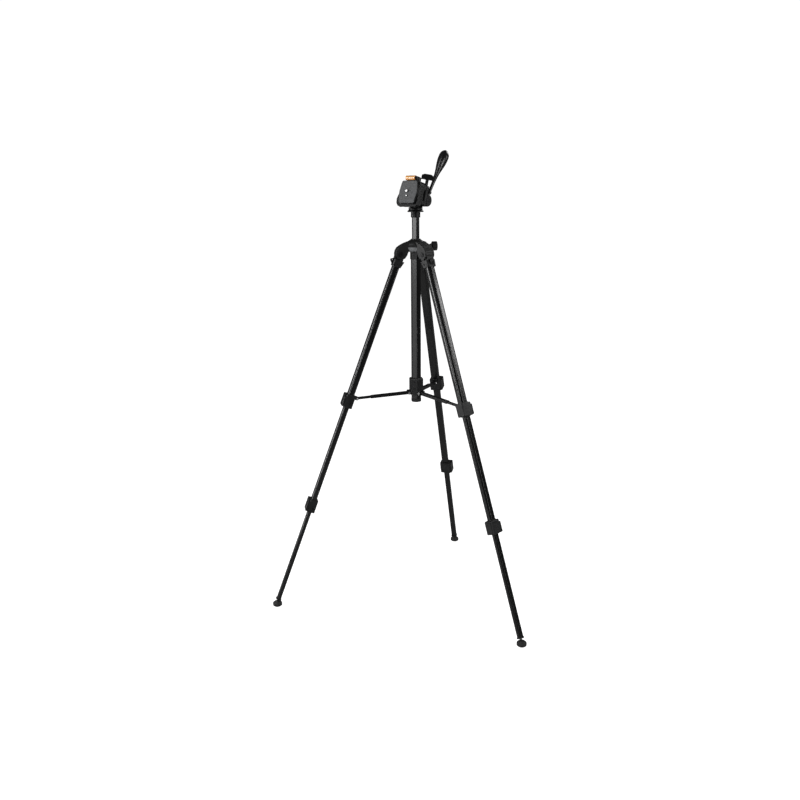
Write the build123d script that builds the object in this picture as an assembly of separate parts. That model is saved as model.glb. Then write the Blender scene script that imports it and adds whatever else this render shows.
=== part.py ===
from build123d import *
import os
from math import atan2, cos, degrees, hypot, radians, sin

os.makedirs("parts", exist_ok=True)

# Folding tripod with a three-way pan head. Millimetres; Z is up and the floor is z = 0.
# The column's axis is the line x = 0, y = COLUMN_Y, so that the origin is the middle of the
# floor rectangle round the three feet. A name that starts with an azimuth of degrees is
# measured anticlockwise from +X.

# Stance
FOOT_CIRCLE_R = 374.0  # ball centres of the feet, from the column's axis
FOOT_BALL_Z = 10.5
LEG_HINGE_R = 39.6
LEG_HINGE_Z = 905.0
LEG_AZIMUTHS = {"left": 210.0, "right": 330.0, "rear": 90.0}
LOCK_AZIMUTH = 30.0  # column lock knob and round level, between the right and rear legs
COLUMN_Y = -FOOT_CIRCLE_R / 4
LEG_RUN = FOOT_CIRCLE_R - LEG_HINGE_R
LEG_RISE = LEG_HINGE_Z - FOOT_BALL_Z
SPLAY = degrees(atan2(LEG_RUN, LEG_RISE))
LEG_LENGTH = hypot(LEG_RUN, LEG_RISE)  # hinge pin to foot ball

# Fits
RUNNING = 0.05  # radial clearance of a pin that turns in its bore
GAP = 0.4  # clearance between parts that slide or pass each other

# Leg sections: radial depth, tangential width, wall
UPPER = (17.6, 22.0, 1.3)
MIDDLE = (14.2, 18.4, 1.2)
LOWER = (11.0, 15.2, 1.2)
OUTER_CORNER = 0.34  # corner radius over width, on the face away from the column
INNER_CORNER = 0.16
GROOVE_PITCH = 0.21  # grooves either side of the outer face's crown, over width
GROOVE_WIDTH = 1.3
GROOVE_DEPTH = 0.7
COLLAR_1 = 386.4  # collar centres, down the leg from its hinge pin
COLLAR_2 = 675.4
OVERLAP = 42.0  # length of tube inside the next one at full extension
ANKLE_TOP = LEG_LENGTH - 11.0

# Leg top casting
EYE_R = 12.0
EYE_WIDTH = 20.4
LEG_PIN_R = 3.0
SHOULDER = 15.0  # from the pin down to the wide part of the casting
CASTING_END = 32.0

# Clamp collar and its flip lever
COLLAR_HEIGHT = 33.0
UPPER_FACES = (12.8, 10.6)  # collar's inner and outer faces, from the leg's axis
LOWER_FACES = (11.5, 9.0)
COLLAR_SIDE = 14.5
KNUCKLE_Y = 12.6
KNUCKLE_R = 2.2
KNUCKLE_HALF = 5.6
LEVER_PIN_R = 1.1
LEVER_WALL = 3.8

# Brace arms and the hub that slides on the column tube
LUG_IN = 18.3  # brace pivot on the collar, from the leg's axis towards the column
LUG_UP = 12.3
HUB_PIVOT_R = 19.5
HUB_PIVOT_Z = 556.5
BRACE_WIDTH = 10.0
BRACE_HEIGHT = 7.2
BRACE_WALL = 1.2
BRACE_REACH = 98.0  # end of the side strips from the hub pivot
BRACE_BRIDGE = 44.0  # end of the web that joins the strips
TONGUE_START = 79.0
TONGUE_WIDTH = 6.8
TONGUE_TOP = 3.0
TONGUE_BOTTOM = -3.0
BRACE_PIN_R = 1.8

# Column, its tube and the crown; hexagons are given across flats
COLUMN_AF = 17.0
TUBE_AF = 22.5
TUBE_BORE_AF = 19.5
SLEEVE_AF = 25.4
HUB_AF = 33.0
TUBE_TOP = 920.5
TUBE_BOTTOM = 540.5
SLEEVE_BOTTOM = 892.0
COLUMN_BOTTOM = 660.0
COLUMN_TOP = 1003.0
CROWN_TOP = 940.0
CROWN_BOTTOM = 911.0
FACET_R = 22.6  # web facets between the ears, at half their height
FACET_LEAN = -12.0
LOCK_Z = 923.5
LOCK_SCREW_R = 2.5
LEVEL_R = 6.4
LEVEL_OFFSET = 19.0
LEVEL_SEAT = 929.2

# Head. Its own axes: X forward, Y to its left, Z up, from the column's axis
HEAD_AZIMUTH = 246.3
SKIRT_Z = 1005.5
PAN_Z = 1013.0
TILT_AXIS_X = -16.0
TILT_AXIS_Z = 1033.0
TILT = 74.4  # the platform is tipped this far forward
DRUM_R = 15.0
DRUM_RIGHT = -22.0
DRUM_LEFT = 26.0
TONGUE_HALF = 8.0
AXLE_R = 4.0
AXLE_HEAD_R = 6.4
AXLE_HEAD = 2.4  # depth of the counterbore for each head
FLIP_Y = 20.0
FLIP_Z = 8.9
FLIP_R = 8.0
FLIP_BOLT_R = 2.5
FLIP_KNOB_TURN = 49.0
HANDLE_POINT = (-20.6, 19.0, -7.0)
HANDLE_DROP = 17.0  # handle below the platform's plane, degrees
HANDLE_LENGTH = 117.0
PLATFORM_REAR = -35.5
PLATFORM_FRONT = 25.0
PLATFORM_LEFT = 25.5
PLATFORM_RIGHT = -31.0
PLATFORM_LOW = 19.0
PLATFORM_TOP = 37.4
PLATE_LOW = 34.0
PLATE_FLANGE = 37.8
PAD_LOW = 42.8
FACE = 44.0
PLATE_X = -9.0
PLATE_Y = -3.5
SCREW_X = -10.6
SCREW_Y = -4.1
PIN_PITCH = 11.2  # camera screw to video pin
SCREW_R = 3.175  # 1/4 inch camera thread


def at_column(azimuth=0.0):
    """Column's axis at floor level, with X towards the azimuth."""
    return Pos(0, COLUMN_Y, 0) * Rot(0, 0, azimuth)


def at_leg(azimuth, down=0.0):
    """On a leg's axis, below its hinge pin: X outward, Y along the pin, Z up the leg."""
    pin = Pos(LEG_HINGE_R, 0, LEG_HINGE_Z) * Rot(0, -SPLAY, 0)
    return at_column(azimuth) * pin * Pos(0, 0, -down)


def at_tilt():
    """Tilt axis with the platform's own directions: X forward, Y left, Z out of its face."""
    return at_column(HEAD_AZIMUTH) * Pos(TILT_AXIS_X, 0, TILT_AXIS_Z) * Rot(0, TILT, 0)


def block(x0, x1, y0, y1, z0, z1):
    """Box between two corners."""
    middle = Pos((x0 + x1) / 2, (y0 + y1) / 2, (z0 + z1) / 2)
    return middle * Box(x1 - x0, y1 - y0, z1 - z0)


def rod_x(radius, x0, x1, y=0.0, z=0.0):
    """Round bar along X."""
    return Pos((x0 + x1) / 2, y, z) * Rot(0, 90, 0) * Cylinder(radius, x1 - x0)


def rod_y(radius, y0, y1, x=0.0, z=0.0):
    """Round bar along Y."""
    return Pos(x, (y0 + y1) / 2, z) * Rot(90, 0, 0) * Cylinder(radius, y1 - y0)


def rod_z(radius, z0, z1, x=0.0, y=0.0):
    """Round bar along Z."""
    return Pos(x, y, (z0 + z1) / 2) * Cylinder(radius, z1 - z0)


def hexagon(across_flats, z0, z1, corner=0.0):
    """Upright hexagonal bar whose flats face the legs and the gaps between them."""
    outline = RegularPolygon(across_flats / 2, 6, major_radius=False)
    if corner:
        outline = fillet(outline.vertices(), corner)
    return Pos(0, 0, z0) * extrude(outline, z1 - z0)


def turned(points):
    """Solid of revolution about Z from (radius, z) points."""
    face = make_face(Plane.XZ * Polyline(*points, close=True))
    return revolve(face, Axis.Z)


def side_plate(points, y0, y1):
    """Plate with an outline of (x, z) points, between two y values."""
    face = make_face(Plane.XZ * Polyline(*points, close=True))
    return Pos(0, y1, 0) * extrude(face, y1 - y0, dir=(0, -1, 0))


def largest(shape):
    """The biggest solid of a shape, without crumbs that a cut leaves."""
    return max(shape.solids(), key=lambda solid: solid.volume)


# ------------------------------------------------------------------------------ legs


def leg_outline(depth, width, inset=0.0):
    """Leg section: nearly flat towards the column, rounded on the outside."""
    outline = Rectangle(depth - 2 * inset, width - 2 * inset)
    outer = outline.vertices().filter_by_position(Axis.X, 0, depth)
    outline = fillet(outer, OUTER_CORNER * width - inset)
    inner = outline.vertices().filter_by_position(Axis.X, -depth, 0.02 - depth / 2 + inset)
    return fillet(inner, INNER_CORNER * width - inset)


def leg_bar(depth, width, top, bottom, inset=0.0):
    """Solid bar of the leg section between two distances below the hinge."""
    return Pos(0, 0, -bottom) * extrude(leg_outline(depth, width, inset), bottom - top)


def leg_tube(section, top, bottom):
    """One tube of a leg, with two long grooves on its outer face."""
    depth, width, wall = section
    tube = leg_bar(depth, width, top, bottom) - leg_bar(depth, width, top, bottom, wall)
    for side in (-1, 1):
        y = side * GROOVE_PITCH * width
        tube -= block(
            depth / 2 - GROOVE_DEPTH, depth, y - GROOVE_WIDTH / 2, y + GROOVE_WIDTH / 2, -bottom, -top
        )
    return tube


def leg_top():
    """Casting that hangs on the crown's pin and holds the upper tube."""
    depth, width, _ = UPPER
    eye = rod_y(EYE_R, -EYE_WIDTH / 2, EYE_WIDTH / 2)
    eye += block(-EYE_R + 1, EYE_R - 1.5, -EYE_WIDTH / 2, EYE_WIDTH / 2, -SHOULDER - 1, 0)
    wide = Pos(-2.2, 0, -SHOULDER) * RectangleRounded(26.6, 29.0, 4.5)
    narrow = Pos(0, 0, -CASTING_END) * RectangleRounded(depth + 4.6, width + 4.6, 5.0)
    casting = eye + loft([wide.face(), narrow.face()])
    tab = [(9.0, -SHOULDER + 1), (12.0, -SHOULDER + 1), (17.6, -17.5), (17.6, -20.5), (10.0, -29.0), (8.0, -29.0)]
    casting += side_plate(tab, -5.5, 5.5)
    panel = Pos(0, 0, -SHOULDER - 3) * Box(5, 17, 1.6)
    casting -= leg_bar(depth, width, SHOULDER - 1, CASTING_END + 1)
    casting -= Pos(12.6, 0, 0) * panel
    return largest(casting - rod_y(LEG_PIN_R + RUNNING, -EYE_WIDTH, EYE_WIDTH))


def knuckle_x(faces):
    """Lever pin's distance from the leg's axis."""
    return faces[1] + GAP + KNUCKLE_R


def collar(section, inner_section, faces, with_lug):
    """Clamp body at a tube's lower end; the flip lever turns on its two knuckles."""
    depth, width, _ = section
    back, front = faces
    half = COLLAR_HEIGHT / 2
    body = block(-back, front, -COLLAR_SIDE, COLLAR_SIDE, -half, half)
    body = fillet(body.edges().filter_by(Axis.Z), 3.0)
    body = fillet(body.faces().sort_by(Axis.Z)[0].edges(), 1.2)
    body -= block(-back - 1, 1 - back, -10.0, 10.0, -half + 4.0, -3.0)
    pin_x, low, high = knuckle_x(faces), -half + 2.0, half - 6.5
    web = block(4.0, pin_x, KNUCKLE_Y - KNUCKLE_R, KNUCKLE_Y + 1.9, low, high)
    knuckles = web + rod_z(KNUCKLE_R, low, high, pin_x, KNUCKLE_Y)
    reach = pin_x + KNUCKLE_R + 1
    middle = block(front + 0.1, reach, 0, KNUCKLE_Y + 9, -KNUCKLE_HALF - GAP, KNUCKLE_HALF + GAP)
    body += knuckles - middle
    if with_lug:
        for side in (-1, 1):
            cheek = rod_y(4.2, 3.7, 6.9, -LUG_IN, LUG_UP)
            cheek += block(-LUG_IN, 1 - back, 3.7, 6.9, LUG_UP - 4.2, LUG_UP + 4.2)
            body += cheek if side > 0 else mirror(cheek, Plane.XZ)
        body -= rod_y(BRACE_PIN_R + RUNNING, -9, 9, -LUG_IN, LUG_UP)
    body -= leg_bar(depth, width, -half - 1, 2.0)
    d, w, _ = inner_section
    body -= leg_bar(d + 2 * GAP, w + 2 * GAP, 1.0, half + 1)
    body -= block(6.0, 8.0, -COLLAR_SIDE - 1, -w / 2 + 3, -half - 1, -3.0)
    return largest(body - rod_z(LEVER_PIN_R + RUNNING, -half, half, pin_x, KNUCKLE_Y))


def flip_lever(faces):
    """Wide lever hinged at the collar's outer corner; it wraps the outer and right-hand sides."""
    back, front = faces
    half = COLLAR_HEIGHT / 2 - 1.0
    inside = front + GAP
    outside = inside + LEVER_WALL
    side_in = COLLAR_SIDE + GAP
    side_out = side_in + LEVER_WALL
    shell = block(-back + 2, outside, -side_out, KNUCKLE_Y - KNUCKLE_R - GAP, -half, half)
    shell = fillet(shell.edges().filter_by(Axis.Z).sort_by(Axis.Y)[:2], 3.6)
    shell = fillet(shell.faces().filter_by(Axis.Z).edges(), 0.9)
    shell -= block(-back - 9, inside, -side_in, 30, -half - 1, half + 1)
    arm = block(inside, outside, 0, KNUCKLE_Y, -KNUCKLE_HALF, KNUCKLE_HALF)
    arm += rod_z(KNUCKLE_R, -KNUCKLE_HALF, KNUCKLE_HALF, knuckle_x(faces), KNUCKLE_Y)
    arm += rod_z(LEVER_PIN_R, -half + 1.0, half - 5.5, knuckle_x(faces), KNUCKLE_Y)
    for rib in range(4):
        shell -= rod_x(0.7, -back + 1, -back + 7, -side_out, -9.0 + 6.0 * rib)
    return largest(shell + arm)


def ankle():
    """Plug in the lower tube with a flange, a neck and a ball."""
    depth, width, wall = LOWER
    plug = leg_bar(depth, width, ANKLE_TOP - 16, ANKLE_TOP, wall)
    flange = leg_bar(depth + 3, width + 1.4, ANKLE_TOP, ANKLE_TOP + 2.5)
    neck = rod_z(2.3, -LEG_LENGTH, -ANKLE_TOP - 1)
    ball = Pos(0, 0, -LEG_LENGTH) * Sphere(5.0)
    return plug + flange + neck + ball


def foot():
    """Rubber foot, flat on the floor, with a socket for the ankle's ball. Axes of the world."""
    rim = [(0, 0), (9.4, 0), (11.7, 2.6), (12.1, 6.2), (10.8, 9.6), (7.6, 12.4), (0, 12.4)]
    pad = turned(rim) - turned([(0, 11.4), (4.6, 11.4), (6.6, 12.5), (0, 12.5)])
    return pad - Pos(0, 0, FOOT_BALL_Z) * Sphere(5.0 + RUNNING)


# ------------------------------------------------------------------------------ brace

LUG_DOWN = COLLAR_1 - LUG_UP
LUG_R = LEG_HINGE_R + LUG_DOWN * sin(radians(SPLAY)) - LUG_IN * cos(radians(SPLAY))
LUG_Z = LEG_HINGE_Z - LUG_DOWN * cos(radians(SPLAY)) - LUG_IN * sin(radians(SPLAY))
BRACE_LENGTH = hypot(LUG_R - HUB_PIVOT_R, HUB_PIVOT_Z - LUG_Z)
BRACE_SLOPE = degrees(atan2(HUB_PIVOT_Z - LUG_Z, LUG_R - HUB_PIVOT_R))


def at_brace(azimuth):
    """Brace's pivot on the hub: X along the brace, Z out of its back."""
    return at_column(azimuth) * Pos(HUB_PIVOT_R, 0, HUB_PIVOT_Z) * Rot(0, BRACE_SLOPE, 0)


def brace():
    """Two side strips, bridged by a web near the hub that they are pinned to."""
    wide, high = BRACE_WIDTH / 2, BRACE_HEIGHT / 2
    bar = block(0, BRACE_REACH, -wide, wide, -high, high)
    inside = wide - BRACE_WALL
    bar -= block(12.0, BRACE_BRIDGE, -inside, inside, -high - 1, high - BRACE_WALL)
    bar -= block(BRACE_BRIDGE - 1, BRACE_REACH + 1, -inside, inside, -high - 1, high + 1)
    bar += rod_y(high, -wide, wide)
    return bar - rod_y(BRACE_PIN_R + RUNNING, -9, 9)


def brace_tongue():
    """End piece pinned to the collar; its bar runs inside the channel."""
    half = TONGUE_WIDTH / 2
    bar = block(TONGUE_START, BRACE_LENGTH, -half, half, TONGUE_BOTTOM, TONGUE_TOP)
    bar = fillet(bar.edges().filter_by(Axis.X), 0.8)
    eye = rod_y(4.0, -half, half, BRACE_LENGTH)
    return bar + eye + rod_y(BRACE_PIN_R, -7.4, 7.4, BRACE_LENGTH)


def hub():
    """Hexagonal hub that slides on the column tube, with a pair of ears for each brace."""
    pivot = HUB_PIVOT_Z
    body = hexagon(HUB_AF, pivot + 4.2, pivot + 38.0, 2.5)
    body = fillet(body.faces().sort_by(Axis.Z)[-1].edges(), 3.0)
    body += hexagon(TUBE_AF + 4.6, pivot - 6.0, pivot + 6.0, 1.5)
    for azimuth in LEG_AZIMUTHS.values():
        ear = rod_y(3.9, BRACE_WIDTH / 2 + 0.3, 8.2, HUB_PIVOT_R, pivot)
        ear += block(10.0, HUB_PIVOT_R + 3.9, BRACE_WIDTH / 2 + 0.3, 8.2, pivot, pivot + 6.0)
        ear += block(10.0, HUB_PIVOT_R, BRACE_WIDTH / 2 + 0.3, 8.2, pivot - 3.9, pivot + 6.0)
        body += Rot(0, 0, azimuth) * (ear + mirror(ear, Plane.XZ))
    for azimuth in LEG_AZIMUTHS.values():
        body -= Rot(0, 0, azimuth) * rod_y(BRACE_PIN_R, -9, 9, HUB_PIVOT_R, pivot)
    return largest(body - hexagon(TUBE_AF + 2 * GAP, pivot - 9, pivot + 40))


def hub_pins():
    """The three brace pins in the hub."""
    pin = rod_y(BRACE_PIN_R, -8.2, 8.2, HUB_PIVOT_R, HUB_PIVOT_Z)
    pin += rod_y(2.8, 8.2, 9.2, HUB_PIVOT_R, HUB_PIVOT_Z)
    pin += rod_y(2.8, -9.2, -8.2, HUB_PIVOT_R, HUB_PIVOT_Z)
    return Compound([Rot(0, 0, azimuth) * pin for azimuth in LEG_AZIMUTHS.values()])


# ------------------------------------------------------------------------------ crown


def crown():
    """Shoulder casting: three pairs of ears round a domed body that guides the column."""
    dome = [
        (0, CROWN_BOTTOM), (22.9, CROWN_BOTTOM), (28.0, 923.0), (24.2, 931.0), (20.0, 935.4),
        (15.0, 938.8), (11.8, CROWN_TOP), (0, CROWN_TOP),
    ]
    body = turned(dome)
    for azimuth in LEG_AZIMUTHS.values():
        facet = block(0, 30, -30, 30, -30, 30)
        body -= Rot(0, 0, azimuth + 60) * Pos(FACET_R, 0, 917.0) * Rot(0, -FACET_LEAN, 0) * facet
    arm = [
        (8.0, 936.8), (20.0, 934.9), (30.0, 931.0), (39.5, 926.0), (46.4, 921.0), (50.2, 914.5), (52.0, 907.0),
        (51.6, 901.5), (48.0, 895.5), (42.5, 892.2), (36.5, 892.2), (29.0, 895.0), (24.0, 902.0), (20.5, 911.0),
        (8.0, 911.0),
    ]
    slot = EYE_WIDTH / 2 + 0.3
    for azimuth in LEG_AZIMUTHS.values():
        ears = side_plate(arm, -15.0, 15.0)
        ears = fillet(ears.faces().filter_by(Axis.Y).edges(), 1.6)
        clear = rod_y(EYE_R + 1.0, -slot, slot, LEG_HINGE_R, LEG_HINGE_Z)
        clear += block(24.5, 60.0, -slot, slot, 880.0, LEG_HINGE_Z + 4.0)
        clear += rod_y(LEG_PIN_R, -20, 20, LEG_HINGE_R, LEG_HINGE_Z)
        body += Rot(0, 0, azimuth) * ears
        body -= Rot(0, 0, azimuth) * clear
    boss = rod_x(7.2, 10.0, 30.0, 0, LOCK_Z) + rod_z(LEVEL_R + 1.5, 915.0, LEVEL_SEAT + 3.6, LEVEL_OFFSET)
    hollow = rod_x(LOCK_SCREW_R + RUNNING, 0, 40.0, 0, LOCK_Z) + rod_z(LEVEL_R, LEVEL_SEAT, 945.0, LEVEL_OFFSET)
    body += Rot(0, 0, LOCK_AZIMUTH) * boss
    body -= Rot(0, 0, LOCK_AZIMUTH) * hollow
    body -= hexagon(SLEEVE_AF, 880.0, TUBE_TOP)
    return largest(body - hexagon(COLUMN_AF + 2 * GAP, 880.0, 950.0))


def leg_bolts():
    """Hinge bolts of the three legs, through the crown's ears."""
    bolt = rod_y(LEG_PIN_R, -15.0, 15.0) + rod_y(5.2, 15.0, 17.0) + rod_y(5.2, -17.0, -15.0)
    bolt -= rod_y(2.0, 16.0, 18.0)
    bolt = Pos(LEG_HINGE_R, 0, LEG_HINGE_Z) * bolt
    return Compound([Rot(0, 0, azimuth) * bolt for azimuth in LEG_AZIMUTHS.values()])


def sleeve():
    """Plastic sleeve between the crown and the column tube."""
    return hexagon(SLEEVE_AF, SLEEVE_BOTTOM, TUBE_TOP) - hexagon(TUBE_AF, SLEEVE_BOTTOM, TUBE_TOP, 1.5)


def column_tube():
    """Fixed hexagonal tube that the hub slides on."""
    bore = hexagon(TUBE_BORE_AF, TUBE_BOTTOM, TUBE_TOP, 1.0)
    return hexagon(TUBE_AF, TUBE_BOTTOM, TUBE_TOP, 1.5) - bore


def tube_cap():
    """Cap in the bottom of the column tube."""
    cap = hexagon(TUBE_AF + 0.8, TUBE_BOTTOM - 8.0, TUBE_BOTTOM, 2.0)
    cap = fillet(cap.faces().sort_by(Axis.Z)[0].edges(), 1.8)
    return cap + hexagon(TUBE_BORE_AF, TUBE_BOTTOM, TUBE_BOTTOM + 12.0, 1.0)


def crown_level():
    """Round spirit level in its cup on the crown."""
    points = [(0, 0), (LEVEL_R, 0), (LEVEL_R, 4.2), (LEVEL_R - 1.2, 5.8), (0, 6.8)]
    return Pos(LEVEL_OFFSET, 0, LEVEL_SEAT) * turned(points)


def column():
    """Hexagonal rising column."""
    return hexagon(COLUMN_AF, COLUMN_BOTTOM, COLUMN_TOP, 1.6) - hexagon(COLUMN_AF - 3.0, COLUMN_BOTTOM, 985.0, 0.8)


def wing_bar(length, width, thick):
    """Bar of a wing knob, across X and long in Z, with rounded tapering ends."""
    half = length / 2
    points = [(0, 0), (0, half), (thick * 0.7, half), (thick, half * 0.55), (thick, 0)]
    bar = side_plate(points, -width / 2, width / 2)
    bar += mirror(bar, Plane.XY)
    return fillet(bar.edges().filter_by(Axis.Y), 1.4)


def lock_knob():
    """Fluted knob whose screw clamps the column, along X from the column's axis."""
    stem = turned([(0, 0), (3.6, 0), (4.4, 3.0), (6.6, 7.5), (6.6, 10.0), (0, 10.0)])
    stem = Pos(31.0, 0, LOCK_Z) * Rot(0, 90, 0) * stem
    screw = rod_x(LOCK_SCREW_R, 9.7, 32.0, 0, LOCK_Z)
    cap = rod_z(11.3, 0, 12.6)
    cap = fillet(cap.edges(), 1.6)
    for flute in range(8):
        cap -= Rot(0, 0, 45.0 * flute + 22.5) * rod_z(2.2, -1, 14, 12.6)
    return stem + screw + Pos(40.6, 0, LOCK_Z) * Rot(0, 90, 0) * cap


# ------------------------------------------------------------------------------ head


def pan_base():
    """Flared base fixed to the column, with the spindle that the head pans on."""
    points = [
        (0, 992.5), (11.0, 992.5), (11.5, 993.2), (11.5, SKIRT_Z), (19.2, SKIRT_Z), (19.9, 1006.1),
        (19.7, 1007.4), (17.0, 1010.6), (17.0, PAN_Z), (5.0, PAN_Z), (5.0, 1021.0), (0, 1021.0),
    ]
    return turned(points) - hexagon(COLUMN_AF, 990.0, COLUMN_TOP, 1.6)


def pan_housing():
    """Turntable and the upright tongue that carries the tilt axle. Axes of the head."""
    points = [(0, PAN_Z + GAP), (16.6, PAN_Z + GAP), (17.3, 1014.4), (17.3, 1015.6), (16.0, 1016.8), (0, 1016.8)]
    base = turned(points)
    web = [(-27.0, 1029.0), (-13.8, 1014.5), (13.0, 1014.5), (8.5, 1020.5), (-1.0, 1026.5), (-7.0, 1036.5), (-20.0, 1040.0)]
    tongue = side_plate(web, -TONGUE_HALF, TONGUE_HALF)
    tongue += rod_y(12.6, -TONGUE_HALF, TONGUE_HALF, TILT_AXIS_X, TILT_AXIS_Z)
    spindle = rod_z(5.0 + RUNNING, 1010.0, 1021.3)
    return base + tongue - spindle - rod_y(AXLE_R, -20, 20, TILT_AXIS_X, TILT_AXIS_Z)


def tilt_axle():
    """Axle through the tongue and the tilt body's cheeks."""
    right, left = DRUM_RIGHT + AXLE_HEAD - GAP, DRUM_LEFT - AXLE_HEAD + GAP
    axle = rod_y(AXLE_R, right, left)
    axle += rod_y(AXLE_HEAD_R, left, left + 1.7) + rod_y(AXLE_HEAD_R, right - 1.7, right)
    return axle - rod_y(2.4, left + 0.6, left + 3) - rod_y(2.4, right - 3, right - 0.6)


def tilt_body():
    """Drum with two cheeks round the tongue, a deck for the platform and the flip barrel."""
    drum = rod_y(DRUM_R, DRUM_RIGHT, DRUM_LEFT)
    drum = fillet(drum.edges(), 2.0)
    deck_top = PLATFORM_LOW - GAP
    deck = block(-DRUM_R, DRUM_R, DRUM_RIGHT, FLIP_Y - FLIP_R - 1.4, 0, deck_top)
    deck = fillet(deck.edges().filter_by(Axis.Z), 3.0)
    body = drum + deck
    body += rod_x(FLIP_R, -20.6, 5.2, FLIP_Y, FLIP_Z)
    body += block(-DRUM_R, 5.2, FLIP_Y - FLIP_R, FLIP_Y + 5.0, 0, FLIP_Z)
    body -= block(5.6, 30, FLIP_Y - FLIP_R - GAP, DRUM_LEFT + 9, 0.4, 30)
    slot = TONGUE_HALF + GAP
    body -= rod_y(13.2, -slot, slot)
    body -= block(-30, 30, -slot, slot, -30, 0)
    body -= block(0, 30, -slot, slot, -30, 30) - block(0, 4.0, -slot, slot, 13.6, 30)
    body -= rod_y(AXLE_R + RUNNING, -40, 40)
    body -= rod_y(AXLE_HEAD_R + GAP, DRUM_LEFT - AXLE_HEAD, DRUM_LEFT + 1)
    body -= rod_y(AXLE_HEAD_R + GAP, DRUM_RIGHT - 1, DRUM_RIGHT + AXLE_HEAD)
    body -= rod_x(FLIP_BOLT_R + RUNNING, -40, 40, FLIP_Y, FLIP_Z)
    body -= at_handle() * rod_z(3.0 + RUNNING, -13.0, 10)
    return largest(body)


def at_handle():
    """Handle's axis in the tilt body's axes, with Z running out along the handle."""
    return Pos(*HANDLE_POINT) * Rot(0, -90 - HANDLE_DROP, 0)


def handle_section(distance, across, thick):
    """Rounded section of the handle at a distance along it."""
    return (Pos(0, 0, distance) * RectangleRounded(across, thick, min(across, thick) * 0.42)).face()


def pan_handle():
    """Moulded handle with a long scoop in each broad face, along Z from its ferrule."""
    sizes = [
        (3, 7.2, 7.0), (19, 7.6, 7.4), (40, 9.0, 8.8), (58, 13.0, 12.8), (75, 19.2, 18.4), (91, 23.6, 22.0),
        (103, 23.6, 21.4),
    ]
    paddle = loft([handle_section(*size) for size in sizes])
    tip = [(103, 23.6, 21.4), (111.0, 19.4, 16.8), (HANDLE_LENGTH, 8.4, 7.0)]
    paddle += loft([handle_section(*size) for size in tip])
    # distance, half width, half depth, height of the face above the handle's axis
    scoops = [
        (10, 2.2, 1.4, 3.5), (40, 3.0, 2.0, 4.4), (58, 4.8, 3.4, 6.4), (75, 7.8, 5.6, 9.2), (91, 9.8, 7.0, 11.0),
        (101, 9.0, 5.8, 10.8), (107, 5.4, 2.6, 9.8),
    ]
    for side in (-1, 1):
        rings = [
            (Pos(0, side * height, distance) * Ellipse(half_width, half_depth)).face()
            for distance, half_width, half_depth, height in scoops
        ]
        paddle -= loft(rings)
    ferrule = turned([(0, -3.0), (4.6, -3.0), (5.2, -2.0), (5.2, 3.0), (4.4, 4.6), (0, 4.6)])
    return largest(paddle + ferrule + rod_z(3.0, -12.0, -2.0))


def platform():
    """Clamp block under the quick-release plate, with ears on the flip bolt and a level cradle."""
    outline = [
        (PLATFORM_REAR, PLATFORM_LOW), (13.0, PLATFORM_LOW), (22.0, 26.5), (PLATFORM_FRONT, 32.0),
        (PLATFORM_FRONT, PLATFORM_TOP), (PLATFORM_REAR, PLATFORM_TOP),
    ]
    body = side_plate(outline, PLATFORM_RIGHT, PLATFORM_LEFT)
    body = fillet(body.edges().filter_by(Axis.Z), 5.0)
    body -= Pos(PLATE_X, PLATE_Y, 0) * block(-20.4, 20.4, -19.4, 19.4, PLATE_LOW - GAP, 60)
    body -= block(8.0, 40, -50, -16.0, 27.1, 33.9)
    for x0, x1 in ((-31.5, -21.0), (6.0, 14.5)):
        ear = rod_x(FLIP_R, x0, x1, FLIP_Y, FLIP_Z)
        ear += block(x0, x1, FLIP_Y - FLIP_R, FLIP_Y + FLIP_R - 2.0, FLIP_Z, PLATFORM_LOW + 2.0)
        body += ear
    body += block(-38.5, -30.0, 10.4, FLIP_Y - 4.6, FLIP_Z - 4.0, PLATFORM_LOW + 12.0)
    cradle = block(-45.5, PLATFORM_REAR + 1, -18.0, 20.0, 30.0, 39.0)
    cradle += side_plate([(-46.5, 32.0), (-36.0, 32.0), (-36.0, 38.5), (-42.0, 44.5), (-46.5, 42.0)], 12.6, 19.0)
    cradle -= rod_y(5.5, -17.8, 12.2, -43.4, 41.0) + block(PLATFORM_REAR - 1.5, 0, -30, 30, PLATFORM_TOP, 60)
    body += cradle
    body -= rod_x(FLIP_BOLT_R + RUNNING, -40, 13.0, FLIP_Y, FLIP_Z)
    body -= rod_z(2.0 + RUNNING, 23.5, 37.0, 17.0, -24.5)
    return largest(body)


def level_vial():
    """Tubular spirit level across the back of the platform."""
    vial = rod_y(5.5, -17.8, 12.2, -43.4, 41.0)
    return fillet(vial.edges(), 0.8)


def flip_knob():
    """Wing knob and bolt that clamp the platform's side flip."""
    bolt = rod_x(FLIP_BOLT_R, -33.0, 12.0, FLIP_Y, FLIP_Z)
    stem = turned([(0, 0), (4.6, 0), (3.8, 2.0), (3.8, 14.0), (5.6, 17.0), (0, 17.0)])
    stem = Pos(-31.9, FLIP_Y, FLIP_Z) * Rot(0, -90, 0) * stem
    bar = Rot(FLIP_KNOB_TURN, 0, 0) * Rot(0, 180, 0) * wing_bar(29.5, 11.0, 11.6)
    return bolt + stem + Pos(-48.2, FLIP_Y, FLIP_Z) * bar


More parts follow.
